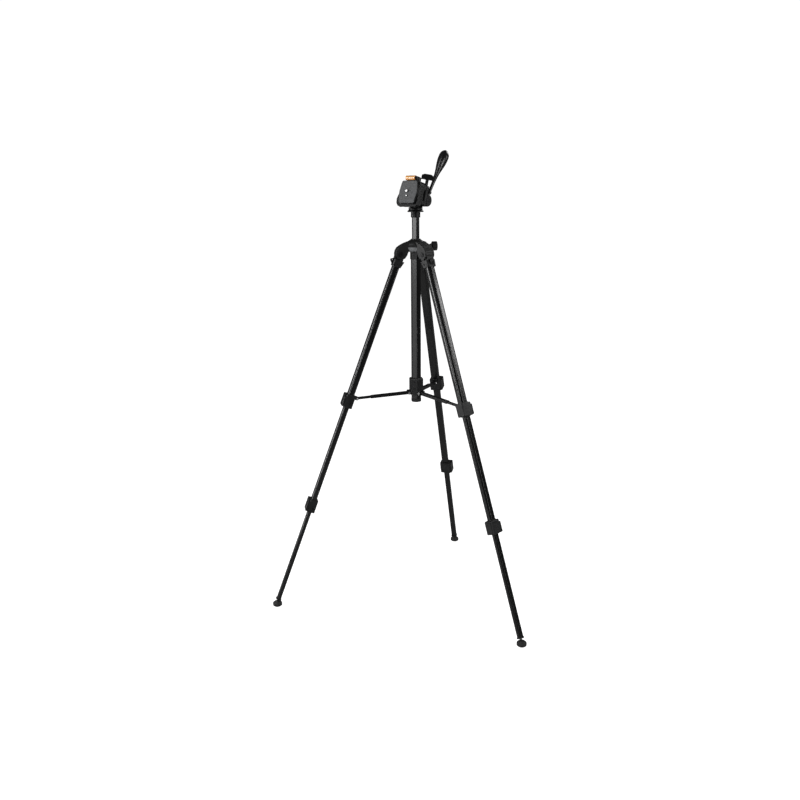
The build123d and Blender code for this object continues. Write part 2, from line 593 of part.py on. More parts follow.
def release_lever():
    """Crescent lever on the platform's right side that frees the plate."""
    outline = Polyline(
        (23.0, -26.5), (24.2, -33.0), (21.4, -40.2), (15.0, -45.4), (4.0, -46.6), (-5.6, -43.0), (-10.5, -35.0),
        (-8.5, -31.6), (9.0, -31.6), (11.5, -26.5), (12.0, -21.5), (17.0, -18.1), (22.0, -20.5), close=True,
    )
    lever = Pos(0, 0, 27.5) * extrude(make_face(outline), 6.0)
    lever = fillet(lever.edges().filter_by(Axis.Z), 1.6)
    lever = fillet(lever.faces().filter_by(Axis.Z).edges(), 0.9)
    return lever + rod_z(2.0, 24.0, 36.5, 17.0, -24.5)


def barrel_outline(inset=0.0):
    """Quick-release plate's outline: bowed sides, so its middle is wider than its ends."""
    end, middle, length = 24.4 - inset, 28.8 - inset, 27.6 - inset
    outline = make_face(Polyline(
        (-length, -end), (-4.0, -middle), (4.0, -middle), (length, -end),
        (length, end), (4.0, middle), (-4.0, middle), (-length, end), close=True,
    ))
    return Pos(PLATE_X, PLATE_Y, 0) * fillet(outline.vertices(), 5.0 - inset)


def release_plate():
    """Plate that drops into the platform, with a slot for the camera screw."""
    plate = Pos(0, 0, PLATE_FLANGE) * extrude(barrel_outline(), PAD_LOW - PLATE_FLANGE)
    plate += Pos(PLATE_X, PLATE_Y, 0) * block(-20.0, 20.0, -19.0, 19.0, PLATE_LOW, PLATE_FLANGE)
    plate -= rod_z(8.0, PLATE_LOW - 1, 37.4, SCREW_X, SCREW_Y)
    plate -= rod_z(SCREW_R + GAP / 2, PLATE_LOW - 1, FACE, SCREW_X, SCREW_Y)
    return plate - rod_z(2.0, 38.8, FACE, SCREW_X + PIN_PITCH, SCREW_Y)


def plate_pad():
    """Rubber pad on the plate's face."""
    pad = Pos(0, 0, PAD_LOW) * extrude(barrel_outline(0.8), FACE - PAD_LOW)
    pad = fillet(pad.faces().sort_by(Axis.Z)[-1].edges(), 0.5)
    pad -= rod_z(SCREW_R + GAP, PAD_LOW - 1, FACE + 1, SCREW_X, SCREW_Y)
    return pad - rod_z(2.4, PAD_LOW - 1, FACE + 1, SCREW_X + PIN_PITCH, SCREW_Y)


def camera_screw():
    """Captive quarter-inch screw: slotted head, thinner shank, thread above the plate's face."""
    screw = rod_z(SCREW_R, FACE + 0.1, FACE + 5.2)
    screw = chamfer(screw.faces().sort_by(Axis.Z)[-1].edges(), 0.6)
    screw += rod_z(SCREW_R - 0.3, PLATE_LOW + 2.0, FACE + 0.2)
    screw += rod_z(7.4, PLATE_LOW + 0.4, PLATE_LOW + 2.9)
    screw -= block(-9, 9, -0.7, 0.7, PLATE_LOW, PLATE_LOW + 1.4)
    return Pos(SCREW_X, SCREW_Y, 0) * screw


def video_pin():
    """Locating pin that keeps a video camera from turning."""
    pin = rod_z(2.0, 38.8, FACE + 3.4, SCREW_X + PIN_PITCH, SCREW_Y)
    return fillet(pin.faces().sort_by(Axis.Z)[-1].edges(), 0.8)


# ------------------------------------------------------------------------------ nodes

column_frame = at_column()
lock_frame = at_column(LOCK_AZIMUTH)
tilt_frame = at_tilt()
nodes = {
    "crown": column_frame * crown(),
    "leg_hinge_bolts": column_frame * leg_bolts(),
    "column_sleeve": column_frame * sleeve(),
    "column_tube": column_frame * column_tube(),
    "tube_end_cap": column_frame * tube_cap(),
    "crown_level": lock_frame * crown_level(),
    "column_lock_knob": lock_frame * lock_knob(),
    "center_column": column_frame * column(),
    "pan_base": column_frame * pan_base(),
    "pan_housing": at_column(HEAD_AZIMUTH) * pan_housing(),
    "tilt_axle": tilt_frame * tilt_axle(),
    "tilt_body": tilt_frame * tilt_body(),
    "pan_handle": tilt_frame * at_handle() * pan_handle(),
    "platform": tilt_frame * platform(),
    "level_vial": tilt_frame * level_vial(),
    "flip_lock_knob": tilt_frame * flip_knob(),
    "release_lever": tilt_frame * release_lever(),
    "release_plate": tilt_frame * release_plate(),
    "plate_pad": tilt_frame * plate_pad(),
    "camera_screw": tilt_frame * camera_screw(),
    "video_pin": tilt_frame * video_pin(),
    "spreader_hub": column_frame * hub(),
    "hub_pins": column_frame * hub_pins(),
}

upper_tube = leg_tube(UPPER, SHOULDER - 1, COLLAR_1 - 2)
middle_tube = leg_tube(MIDDLE, COLLAR_1 - OVERLAP, COLLAR_2 - 2)
lower_tube = leg_tube(LOWER, COLLAR_2 - OVERLAP, ANKLE_TOP)
for side, azimuth in LEG_AZIMUTHS.items():
    leg = at_leg(azimuth)
    nodes[f"{side}_brace"] = at_brace(azimuth) * brace()
    nodes[f"{side}_brace_tongue"] = at_brace(azimuth) * brace_tongue()
    nodes[f"{side}_leg_top"] = leg * leg_top()
    nodes[f"{side}_upper_tube"] = leg * upper_tube
    nodes[f"{side}_upper_collar"] = at_leg(azimuth, COLLAR_1) * collar(UPPER, MIDDLE, UPPER_FACES, True)
    nodes[f"{side}_upper_lever"] = at_leg(azimuth, COLLAR_1) * flip_lever(UPPER_FACES)
    nodes[f"{side}_middle_tube"] = leg * middle_tube
    nodes[f"{side}_lower_collar"] = at_leg(azimuth, COLLAR_2) * collar(MIDDLE, LOWER, LOWER_FACES, False)
    nodes[f"{side}_lower_lever"] = at_leg(azimuth, COLLAR_2) * flip_lever(LOWER_FACES)
    nodes[f"{side}_lower_tube"] = leg * lower_tube
    nodes[f"{side}_ankle"] = leg * ankle()
    nodes[f"{side}_foot"] = at_column(azimuth) * Pos(FOOT_CIRCLE_R, 0, 0) * foot()

for name, shape in nodes.items():
    export_step(shape, f"parts/{name}.step")
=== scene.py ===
from math import atan2, cos, pi, radians, sin

import bmesh
import bpy
from mathutils import Matrix, Vector


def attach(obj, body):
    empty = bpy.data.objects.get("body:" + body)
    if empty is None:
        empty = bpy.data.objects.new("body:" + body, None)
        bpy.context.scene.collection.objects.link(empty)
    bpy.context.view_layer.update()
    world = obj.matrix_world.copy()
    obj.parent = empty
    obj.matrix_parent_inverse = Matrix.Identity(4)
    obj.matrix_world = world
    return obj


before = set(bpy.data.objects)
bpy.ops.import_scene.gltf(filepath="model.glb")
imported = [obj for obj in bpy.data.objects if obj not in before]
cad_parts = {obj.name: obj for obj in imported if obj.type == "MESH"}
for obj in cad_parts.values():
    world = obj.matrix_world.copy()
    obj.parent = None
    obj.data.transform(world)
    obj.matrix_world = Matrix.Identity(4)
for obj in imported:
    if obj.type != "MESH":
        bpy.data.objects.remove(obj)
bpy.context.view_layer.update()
MM = 0.001

# The CAD's layout, in millimetres and degrees
FOOT_CIRCLE_R = 374.0
LEG_HINGE = (39.6, 905.0)  # distance from the column's axis, height
FOOT_BALL_Z = 10.5
AZIMUTHS = {"left": 210.0, "right": 330.0, "rear": 90.0}
SPLAY = atan2(FOOT_CIRCLE_R - LEG_HINGE[0], LEG_HINGE[1] - FOOT_BALL_Z)
COLUMN_Y = -FOOT_CIRCLE_R / 4
COLLAR_DOWN = {"upper": 386.4, "lower": 675.4}  # along the leg from its hinge pin
BETWEEN_LEGS = (30.0, 150.0, 270.0)
LOCK_AZIMUTH = 30.0  # column lock knob and round level
HEAD_AZIMUTH = 246.3
TILT_AXIS = (-16.0, 1033.0)  # distance along the head's azimuth, height
TILT = 74.4


def turn(degrees, axis):
    return Matrix.Rotation(radians(degrees), 4, axis)


def at_column(azimuth=0.0):
    """Column's axis at floor level, X towards the azimuth. Frames map millimetres to metres."""
    return Matrix.Scale(MM, 4) @ Matrix.Translation((0, COLUMN_Y, 0)) @ turn(azimuth, "Z")


def at_leg(azimuth, down=0.0):
    """On a leg's axis: X outward, Y along the hinge pin, Z up the leg."""
    pin = Matrix.Translation((LEG_HINGE[0], 0, LEG_HINGE[1]))
    lean = Matrix.Rotation(-SPLAY, 4, "Y")
    return at_column(azimuth) @ pin @ lean @ Matrix.Translation((0, 0, -down))


def at_tilt():
    """Tilt axis: X forward on the platform, Y to its left, Z out of the plate's face."""
    axis = Matrix.Translation((TILT_AXIS[0], 0, TILT_AXIS[1]))
    return at_column(HEAD_AZIMUTH) @ axis @ turn(TILT, "Y")


# ---------------------------------------------------------------- materials

NOISE_SPAN = (0.3, 0.7)  # where most of a noise texture's values lie
FINE = 0.00005  # bump distances in metres
SKIN = 0.00006


def shader(name, roughness, metallic=0.0):
    """New material: returns it, its node tree and its Principled shader."""
    material = bpy.data.materials.new(name)
    material.use_nodes = True
    tree = material.node_tree
    principled = tree.nodes["Principled BSDF"]
    principled.inputs["Roughness"].default_value = roughness
    principled.inputs["Metallic"].default_value = metallic
    return material, tree, principled


def node(tree, kind, **settings):
    """Adds a node and sets its named inputs or attributes."""
    made = tree.nodes.new(kind)
    for key, value in settings.items():
        if key in made.inputs:
            made.inputs[key].default_value = value
        else:
            setattr(made, key, value)
    return made


def grain(tree, scale, stretch=(1, 1, 1), detail=4.0, turned=(0, 0, 0)):
    """Noise in the object's own metres, optionally drawn out along a turned axis."""
    place = node(tree, "ShaderNodeTexCoord")
    mapping = node(tree, "ShaderNodeMapping")
    mapping.vector_type = "TEXTURE"
    mapping.inputs["Rotation"].default_value = turned
    mapping.inputs["Scale"].default_value = stretch
    noise = node(tree, "ShaderNodeTexNoise", Scale=scale, Detail=detail)
    tree.links.new(place.outputs["Object"], mapping.inputs["Vector"])
    tree.links.new(mapping.outputs["Vector"], noise.inputs["Vector"])
    return noise


def colour_from(tree, principled, source, dark, light, low=0.35, high=0.65):
    """Base colour between two tones, driven by a texture."""
    ramp = node(tree, "ShaderNodeValToRGB")
    ramp.color_ramp.elements[0].position = low
    ramp.color_ramp.elements[0].color = (*dark, 1)
    ramp.color_ramp.elements[1].position = high
    ramp.color_ramp.elements[1].color = (*light, 1)
    tree.links.new(source.outputs["Fac"], ramp.inputs["Fac"])
    tree.links.new(ramp.outputs["Color"], principled.inputs["Base Color"])


def roughness_from(tree, principled, source, low, high):
    """Roughness between two values, driven by a texture."""
    spread = node(tree, "ShaderNodeMapRange")
    spread.inputs["From Min"].default_value = NOISE_SPAN[0]
    spread.inputs["From Max"].default_value = NOISE_SPAN[1]
    spread.inputs["To Min"].default_value = low
    spread.inputs["To Max"].default_value = high
    tree.links.new(source.outputs["Fac"], spread.inputs["Value"])
    tree.links.new(spread.outputs["Result"], principled.inputs["Roughness"])


def bump_from(tree, principled, source, strength, distance, before=None):
    """Bump from a texture, on top of an earlier bump if there is one."""
    bump = node(tree, "ShaderNodeBump", Strength=strength, Distance=distance)
    tree.links.new(source.outputs["Fac"], bump.inputs["Height"])
    if before:
        tree.links.new(before.outputs["Normal"], bump.inputs["Normal"])
    tree.links.new(bump.outputs["Normal"], principled.inputs["Normal"])
    return bump


def anodised(name, turned=(0, 0, 0)):
    """Black anodised tube: drawing lines along its length under a clear gloss."""
    material, tree, principled = shader(name, 0.25, 0.35)
    lines = grain(tree, 900.0, (1, 1, 60), 3.0, turned)
    cloud = grain(tree, 14.0, (1, 1, 6), 2.0, turned)
    colour_from(tree, principled, lines, (0.0035, 0.0037, 0.004), (0.006, 0.0062, 0.0067))
    roughness_from(tree, principled, cloud, 0.21, 0.26)
    bump_from(tree, principled, lines, 0.06, SKIN)
    principled.inputs["Coat Weight"].default_value = 0.35
    principled.inputs["Coat Roughness"].default_value = 0.12
    return material


def moulded(name, dark, light, rough, fine=2600.0, strength=0.25, specular=0.4):
    """Moulded plastic: spark-eroded grain with faint flow marks."""
    material, tree, principled = shader(name, rough)
    principled.inputs["Specular IOR Level"].default_value = specular
    flow = grain(tree, 38.0, (1, 1, 2.5), 3.0)
    skin = grain(tree, fine, detail=2.0)
    colour_from(tree, principled, flow, dark, light)
    roughness_from(tree, principled, flow, rough - 0.05, rough + 0.07)
    first = bump_from(tree, principled, skin, strength, SKIN)
    bump_from(tree, principled, flow, 0.08, 0.0004, first)
    return material


def glossy_grip(name):
    """Polished moulding with slight sink marks and handling haze."""
    material, tree, principled = shader(name, 0.25)
    haze = grain(tree, 60.0, detail=3.0)
    sink = grain(tree, 14.0, detail=1.0)
    colour_from(tree, principled, haze, (0.005, 0.005, 0.0055), (0.008, 0.008, 0.0088))
    roughness_from(tree, principled, haze, 0.22, 0.27)
    bump_from(tree, principled, sink, 0.04, 0.001)
    return material


def bright_steel(name):
    """Machined steel with turning marks."""
    material, tree, principled = shader(name, 0.24, 1.0)
    marks = grain(tree, 1500.0, (1, 1, 12), 3.0)
    colour_from(tree, principled, marks, (0.46, 0.46, 0.47), (0.66, 0.66, 0.65))
    roughness_from(tree, principled, marks, 0.16, 0.34)
    bump_from(tree, principled, marks, 0.15, FINE)
    return material


def blackened_steel(name):
    """Black-oxide screws and nuts with an oily, uneven finish."""
    material, tree, principled = shader(name, 0.4, 0.8)
    oil = grain(tree, 420.0, detail=4.0)
    colour_from(tree, principled, oil, (0.010, 0.010, 0.011), (0.022, 0.022, 0.024))
    roughness_from(tree, principled, oil, 0.34, 0.5)
    bump_from(tree, principled, oil, 0.15, FINE)
    return material


def moulded_rubber(name):
    """Matt rubber with a fine pitted skin and patches of dust."""
    material, tree, principled = shader(name, 0.72)
    pits = grain(tree, 1900.0, detail=3.0)
    dust = grain(tree, 120.0, detail=5.0)
    colour_from(tree, principled, dust, (0.012, 0.012, 0.012), (0.024, 0.0235, 0.023), 0.45, 0.75)
    roughness_from(tree, principled, dust, 0.62, 0.82)
    bump_from(tree, principled, pits, 0.4, 0.0001)
    return material


def ribbed_pad(name):
    """Rubber pad with fine ribs across the plate, in the platform's own directions."""
    material, tree, principled = shader(name, 0.62)
    place = node(tree, "ShaderNodeTexCoord")
    mapping = node(tree, "ShaderNodeMapping")
    mapping.vector_type = "TEXTURE"
    mapping.inputs["Rotation"].default_value = at_tilt().to_euler()
    ribs = node(tree, "ShaderNodeTexWave", Scale=105.0, Distortion=0.0)
    ribs.bands_direction = "X"
    tree.links.new(place.outputs["Object"], mapping.inputs["Vector"])
    tree.links.new(mapping.outputs["Vector"], ribs.inputs["Vector"])
    dust = grain(tree, 240.0, detail=4.0)
    colour_from(tree, principled, dust, (0.062, 0.064, 0.067), (0.086, 0.0885, 0.092))
    first = bump_from(tree, principled, ribs, 0.5, 0.0003)
    bump_from(tree, principled, dust, 0.2, 0.0002, first)
    return material


def tinted(name, dark, light, clearness, rough=0.05):
    """Clear coloured plastic or liquid."""
    material, tree, principled = shader(name, rough)
    swirl = grain(tree, 90.0, detail=2.0)
    colour_from(tree, principled, swirl, dark, light)
    principled.inputs["Transmission Weight"].default_value = clearness
    principled.inputs["IOR"].default_value = 1.46
    principled.inputs["Coat Weight"].default_value = 0.6
    return material


leg_turns = {side: at_leg(azimuth).to_euler() for side, azimuth in AZIMUTHS.items()}
tube_black = {side: anodised(f"anodised_{side}", turned) for side, turned in leg_turns.items()}
column_black = anodised("anodised_column")
moulding = moulded("black_moulding", (0.006, 0.0062, 0.0066), (0.012, 0.0124, 0.0132), 0.38)
casting = moulded(
    "black_casting", dark=(0.004, 0.0042, 0.0045), light=(0.008, 0.0083, 0.0088),
    rough=0.46, fine=1500.0, strength=0.3, specular=0.35,
)
head_plastic = moulded(
    "head_moulding", dark=(0.003, 0.0031, 0.0033), light=(0.006, 0.0062, 0.0066), rough=0.40, specular=0.22,
)
plate_plastic = moulded(
    "plate_moulding", dark=(0.003, 0.0031, 0.0034), light=(0.006, 0.0062, 0.0066),
    rough=0.44, fine=2200.0, strength=0.3, specular=0.2,
)
brace_black = moulded(
    "brace_coating", dark=(0.004, 0.004, 0.0045), light=(0.009, 0.009, 0.0095),
    rough=0.40, fine=1200.0, strength=0.2, specular=0.22,
)
grip = glossy_grip("handle_gloss")
steel = bright_steel("bright_steel")
black_steel = blackened_steel("black_oxide_steel")
rubber = moulded_rubber("foot_rubber")
pad_rubber = ribbed_pad("pad_rubber")
vial_amber = tinted("vial_amber", (0.84, 0.33, 0.07), (0.98, 0.58, 0.24), clearness=0.10, rough=0.2)
bubble = tinted("bubble_clear", (0.80, 0.84, 0.70), (0.90, 0.93, 0.80), clearness=0.3)
# Web plates' light grey is a painted highlight: colour standing in for the shine of the web facet that faces
# the camera.
web_painted_highlight = moulded(
    "web_plate_painted_highlight", dark=(0.15, 0.154, 0.160), light=(0.22, 0.225, 0.232),
    rough=0.42, fine=1500.0, strength=0.4,
)
level_clear = tinted("level_clear", (0.60, 0.64, 0.60), (0.78, 0.82, 0.78), clearness=0.6)

LOOKS = {
    "crown": casting, "leg_hinge_bolts": brace_black, "column_sleeve": moulding, "column_tube": column_black,
    "tube_end_cap": moulding, "crown_level": level_clear, "column_lock_knob": moulding,
    "center_column": column_black, "pan_base": head_plastic, "pan_housing": head_plastic,
    "tilt_axle": brace_black, "tilt_body": head_plastic, "pan_handle": grip, "platform": head_plastic,
    "level_vial": vial_amber, "flip_lock_knob": head_plastic, "release_lever": plate_plastic,
    "release_plate": plate_plastic, "plate_pad": pad_rubber, "camera_screw": steel, "video_pin": steel,
    "spreader_hub": moulding, "hub_pins": steel,
}
LEG_LOOKS = {
    "leg_top": casting, "upper_collar": moulding, "upper_lever": moulding, "lower_collar": moulding,
    "lower_lever": moulding, "ankle": moulding, "foot": rubber, "brace": brace_black,
    "brace_tongue": brace_black,
}
for side in AZIMUTHS:
    LOOKS |= {f"{side}_{part}": look for part, look in LEG_LOOKS.items()}
    LOOKS |= {f"{side}_{part}_tube": tube_black[side] for part in ("upper", "middle", "lower")}
for name, look in LOOKS.items():
    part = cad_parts[name]
    for slot in part.material_slots:
        slot.material = look


# ---------------------------------------------------------------- detail pieces

WELD = 1e-7  # corners closer than this, in metres, are joined
CREASE = 35  # degrees above which an edge stays sharp


def lathe(form, place, profile, steps=48):
    """Solid of revolution about the frame's Z from (radius, z) points; a radius of 0 closes it."""
    rows = []
    for radius, z in profile:
        angles = [2 * pi * i / steps for i in range(steps if radius else 1)]
        points = [(radius * cos(a), radius * sin(a), z) for a in angles]
        rows.append([form.verts.new(place @ Vector(point)) for point in points])
    for low, high in zip(rows, rows[1:]):
        for i in range(steps):
            j = (i + 1) % steps
            corners = [low[i % len(low)], low[j % len(low)], high[j % len(high)], high[i % len(high)]]
            form.faces.new(list(dict.fromkeys(corners)))


def prism(form, place, outline, z0, z1):
    """Straight bar with an (x, y) outline."""
    low = [form.verts.new(place @ Vector((x, y, z0))) for x, y in outline]
    high = [form.verts.new(place @ Vector((x, y, z1))) for x, y in outline]
    form.faces.new(low[::-1])
    form.faces.new(high)
    for i in range(len(outline)):
        j = (i + 1) % len(outline)
        form.faces.new((low[i], low[j], high[j], high[i]))


def bar(form, place, x, y, z):
    """Box between pairs of x, y and z."""
    prism(form, place, [(x[0], y[0]), (x[1], y[0]), (x[1], y[1]), (x[0], y[1])], z[0], z[1])


def hollow(outer, inner, z0, z1, round_by=0.3):
    """Profile of a ring with eased edges, for lathe."""
    return [
        (inner, z0), (outer - round_by, z0), (outer, z0 + round_by), (outer, z1 - round_by),
        (outer - round_by, z1), (inner, z1), (inner, z0),
    ]


def dome(radius, z0, height, steps=6):
    """Profile of a domed head standing on z0, for lathe."""
    angles = [pi / 2 * i / steps for i in range(steps)]
    curve = [(radius * cos(a), z0 + height * sin(a)) for a in angles]
    return [(0, z0)] + curve + [(0, z0 + height)]


def piece(name, body, look, shapes, bevel=0.0):
    """Makes one object from shape calls, eases its edges and rides it on a body."""
    form = bmesh.new()
    for make, place, *rest in shapes:
        make(form, place, *rest)
    bmesh.ops.remove_doubles(form, verts=form.verts, dist=WELD)
    bmesh.ops.recalc_face_normals(form, faces=form.faces)
    mesh = bpy.data.meshes.new(name)
    form.to_mesh(mesh)
    form.free()
    mesh.materials.append(look)
    made = bpy.data.objects.new(name, mesh)
    bpy.context.collection.objects.link(made)
    for polygon in mesh.polygons:
        polygon.use_smooth = True
    if bevel:
        ease = made.modifiers.new("ease", "BEVEL")
        ease.width = bevel * MM
        ease.segments = 2
        ease.limit_method = "ANGLE"
        ease.harden_normals = False
    sharp = made.modifiers.new("smooth", "EDGE_SPLIT")
    sharp.split_angle = radians(CREASE)
    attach(made, body)


def along_y(place, y, towards=1):
    """Frame whose Z runs along the parent's Y from a y value."""
    return place @ Matrix.Translation((0, y, 0)) @ turn(-90 * towards, "X")


def along_x(place, x, towards=1):
    """Frame whose Z runs along the parent's X from an x value."""
    return place @ Matrix.Translation((x, 0, 0)) @ turn(90 * towards, "Y")


def shift(place, x, y, z):
    return place @ Matrix.Translation((x, y, z))


def helix(form, place, radius, depth, pitch, turns, z0, steps=28):
    """Thread ridge: a three-sided strip wound about the frame's Z."""
    flank = 0.3 * pitch
    ridge = [(radius, -flank), (radius + depth, 0), (radius, flank)]
    rows = []
    for i in range(int(turns * steps) + 1):
        angle, rise = 2 * pi * i / steps, z0 + pitch * i / steps
        points = [(r * cos(angle), r * sin(angle), rise + z) for r, z in ridge]
        rows.append([form.verts.new(place @ Vector(point)) for point in points])
    for low, high in zip(rows, rows[1:]):
        for i in range(3):
            form.faces.new((low[i], low[(i + 1) % 3], high[(i + 1) % 3], high[i]))
    form.faces.new(rows[0])
    form.faces.new(rows[-1][::-1])


def ring_prism(form, place, outer, inner, z0, z1):
    """Frame-shaped bar between two outlines with the same number of points."""
    loops = ((outer, z0), (outer, z1), (inner, z1), (inner, z0))
    rows = [[form.verts.new(place @ Vector((x, y, z))) for x, y in line] for line, z in loops]
    for low, high in zip(rows, rows[1:] + rows[:1]):
        for i in range(len(outer)):
            j = (i + 1) % len(outer)
            form.faces.new((low[i], low[j], high[j], high[i]))


def rounded(depth, width, outer, inner, steps=5):
    """Rectangle with one corner radius on the side away from the column and another towards it."""
    corners = ((1, 1, outer, 0), (-1, 1, inner, 90), (-1, -1, inner, 180), (1, -1, outer, 270))
    points = []
    for sx, sy, radius, start in corners:
        for i in range(steps + 1):
            angle = radians(start + 90 * i / steps)
            x = sx * (depth / 2 - radius) + radius * cos(angle)
            y = sy * (width / 2 - radius) + radius * sin(angle)
            points.append((x, y))
    return points


# Each leg tube's depth, away from the column, and its width
SECTIONS = {"upper": (17.6, 22.0), "middle": (14.2, 18.4), "lower": (11.0, 15.2)}
OUTER_ROUND = 0.34  # a section's corner radii, as shares of its width
INNER_ROUND = 0.16
LEAST_FLAT = 0.05


def section(depth, width, grow):
    """Outline of a leg section, grown on all sides."""
    outer = min(OUTER_ROUND * width + grow, depth / 2 + grow - LEAST_FLAT)
    return rounded(depth + 2 * grow, width + 2 * grow, outer, INNER_ROUND * width + grow)


def hexagon(across_flats):
    """Outline of a hexagon with a flat towards X."""
    reach = across_flats / 2 / cos(radians(30))
    angles = [radians(30 + 60 * i) for i in range(6)]
    return [(reach * cos(a), reach * sin(a)) for a in angles]


def cross_head(place, radius, height):
    """Domed screw head with a raised cross on it."""
    long, narrow = (-radius / 2, radius / 2), (-0.22, 0.22)
    rise = (height - 0.1, height + 0.12)
    return [
        (lathe, place, dome(radius, 0, height)),
        (bar, place, long, narrow, rise),
        (bar, place, narrow, long, rise),
    ]


# Places on a leg, in its own frame: the first two from the hinge pin, the next from a collar's middle
LEG_TOP_SCREW = (-1.0, 13.6, -24.0)
WASHER_Y = 15.0
# Each collar: reach of its front, the tube it is fixed to, the tube that slides in it, and its body
CLAMPS = {"upper": (10.6, "upper", "middle", "leg"), "lower": (9.0, "middle", "lower", "middle")}
COLLAR_ENDS = (-16.4, 16.4)
GAP = 0.4  # between a collar's front and its lever
KNUCKLE_R = 2.2
KNUCKLE_Y = 12.6  # the lever's pin, from the leg's middle
KNUCKLE_ENDS = (-14.5, 10.0)
LEVER_WALL = 3.8
GRIP_PITCH = 3.6
CLAMP_NUT = (-4.5, 14.5, -4.0)
BRACE_LUG = (-18.3, 0, 12.3)  # the brace's pin on the upper collar
LUG_HALF = 7.05
FOOT_RIBS = ((11.9, 10.2, 1.9), (11.8, 10.6, 8.1))  # outer and inner radius, bottom


def leg_top_details(side, azimuth):
    """Screws of the leg-top casting and washers of its hinge, on both faces."""
    top = at_leg(azimuth)
    x, y, z = LEG_TOP_SCREW
    for face, towards in (("left", 1), ("right", -1)):
        screw = along_y(shift(top, x, 0, z), towards * y, towards)
        head = cross_head(screw, 2.5, 0.9)
        piece(f"{side}_leg_top_screw_{face}", f"{side}_leg", black_steel, head)
        washer = [(lathe, along_y(top, towards * WASHER_Y, towards), hollow(6.3, 5.25, 0.0, 0.7))]
        piece(f"{side}_hinge_washer_{face}", "crown", black_steel, washer)


def clamp_details(side, azimuth, which):
    """Gaskets, lever pin caps, clamp nut and lever grip of one collar."""
    front, outer, inner, body = CLAMPS[which]
    rides = f"{side}_{body}"
    lever = f"{side}_{which}_lever"
    place = at_leg(azimuth, COLLAR_DOWN[which])
    big, small = SECTIONS[outer], SECTIONS[inner]
    bottom, top = COLLAR_ENDS
    lip = (ring_prism, place, section(*big, 1.9), section(*big, 0.05), top, top + 1.4)
    wiper = (ring_prism, place, section(*small, 2.2), section(*small, 0.5), bottom - 1.1, bottom)
    piece(f"{side}_{which}_gaskets", rides, rubber, [lip, wiper], 0.3)

    pin = shift(place, front + GAP + KNUCKLE_R, KNUCKLE_Y, 0)
    low, high = KNUCKLE_ENDS
    cap = dome(1.7, 0, 0.7)
    caps = [(lathe, shift(pin, 0, 0, high), cap), (lathe, shift(pin, 0, 0, low) @ turn(180, "X"), cap)]
    piece(f"{side}_{which}_lever_pin_caps", lever, black_steel, caps)

    x, y, z = CLAMP_NUT
    at_nut = along_y(shift(place, x, 0, z), y)
    nut = [(prism, at_nut, hexagon(5.0), -0.2, 1.4), (lathe, at_nut, dome(1.4, 1.3, 0.6))]
    piece(f"{side}_{which}_clamp_nut", rides, black_steel, nut, 0.25)

    face = front + GAP + LEVER_WALL
    heights = [GRIP_PITCH * (i - 2.5) for i in range(6)]
    grips = [(bar, place, (face - 0.2, face + 0.35), (-10.5, 4.5), (z - 0.7, z + 0.7)) for z in heights]
    piece(f"{side}_{which}_lever_grip", lever, moulding, grips, 0.25)


def leg_details(side, azimuth):
    """Small pieces of one leg, from its hinge down to its foot."""
    leg_top_details(side, azimuth)
    for which in CLAMPS:
        clamp_details(side, azimuth, which)
    lug = shift(at_leg(azimuth, COLLAR_DOWN["upper"]), *BRACE_LUG)
    rivet = dome(3.2, 0, 1.5)
    rivets = [(lathe, along_y(lug, LUG_HALF * towards, towards), rivet) for towards in (-1, 1)]
    piece(f"{side}_lug_rivets", f"{side}_brace_tongue", steel, rivets)
    sole = at_column(azimuth) @ Matrix.Translation((FOOT_CIRCLE_R, 0, 0))
    ribs = [(lathe, sole, hollow(outer, inner, z, z + 0.9)) for outer, inner, z in FOOT_RIBS]
    piece(f"{side}_foot_ribs", f"{side}_foot", rubber, ribs)


WEB_AZIMUTHS = BETWEEN_LEGS[1:]
WEB_AT = (22.6, 0, 917.0)  # on the web facet between two pairs of ears
WEB_LEAN = 12
LEVEL_AT = (19.0, 0, 933.1)
GLAND = (939.8, 941.6)  # bottom and top
LOCK_Z = 923.5
LOCK_KNOB_FACE = 53.2


def crown_details():
    """Web plates, whose light grey is a painted highlight, round level's trim, column gland and the lock
    knob's cap.
    """
    for azimuth in WEB_AZIMUTHS:
        web = at_column(azimuth) @ Matrix.Translation(WEB_AT) @ turn(WEB_LEAN, "Y") @ turn(90, "Y")
        trapezoid = [(5.2, -8.0), (5.2, 8.0), (-5.0, 12.4), (-5.0, -12.4)]
        plate = [(prism, web, trapezoid, -0.3, 0.6)]
        # Plate in light grey: painted highlight on the black web facet.
        piece(f"crown_web_plate_{azimuth:.0f}", "crown", web_painted_highlight, plate, 0.3)
    level = at_column(LOCK_AZIMUTH) @ Matrix.Translation(LEVEL_AT)
    piece("crown_level_bezel", "crown", casting, [(lathe, level, hollow(7.8, 6.5, 0.0, 1.1))])
    ring = hollow(2.9, 2.5, 2.7, 3.05, 0.1)
    piece("crown_level_ring", "crown", moulding, [(lathe, level, ring)])
    piece("crown_level_bubble", "crown", bubble, [(lathe, level, dome(1.7, 2.9, 0.45))])
    gland = (ring_prism, at_column(), hexagon(22.5), hexagon(18.0), *GLAND)
    piece("column_gland", "crown", moulding, [gland], 0.5)
    knob = along_x(at_column(LOCK_AZIMUTH) @ Matrix.Translation((0, 0, LOCK_Z)), LOCK_KNOB_FACE)
    cap = [(lathe, knob, hollow(8.4, 6.6, -0.2, 0.5)), (lathe, knob, dome(5.2, 0, 0.8))]
    piece("lock_knob_cap", "lock_knob", head_plastic, cap)


HUB_FACE = 16.5
HUB_SCREW_HEIGHTS = (568.5, 586.0)
TUBE_CAP_Z = 532.5


